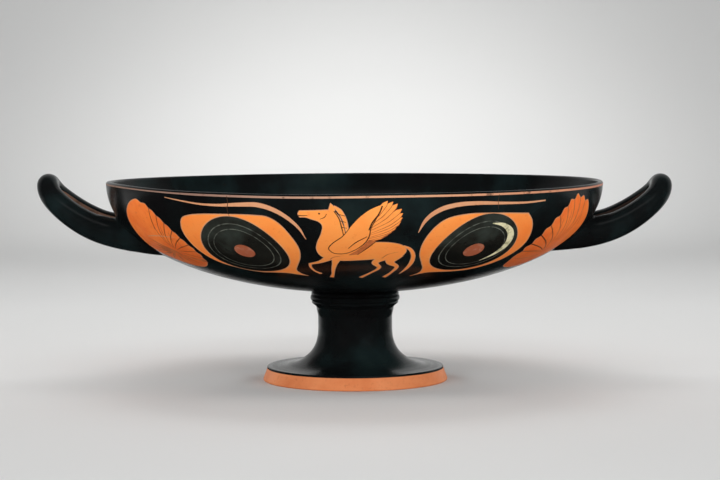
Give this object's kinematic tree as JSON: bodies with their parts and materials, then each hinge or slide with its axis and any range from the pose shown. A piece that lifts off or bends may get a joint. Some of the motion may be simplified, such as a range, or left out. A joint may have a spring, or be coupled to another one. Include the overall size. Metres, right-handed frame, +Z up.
{
  "type": "greek kylix drinking cup",
  "caption": "Wide shallow drinking bowl on a turned stem and disc foot, with upswept horseshoe handles at its sides; fired clay painted in black gloss and reserved orange.",
  "frame": {"origin": "On the cup's turning axis, in the plane that the foot rests on", "axes": "+Z up along the turning axis, X through both handles, -Y towards the side with the winged horse"},
  "size_m": [0.423, 0.33, 0.1389],
  "materials": {
    "painted_clay": "semi-gloss black slip over orange fired clay, with figures reserved in the clay colour"
  },
  "bodies": {
    "root": {"kylix": "painted_clay"}
  },
  "joints": []
}
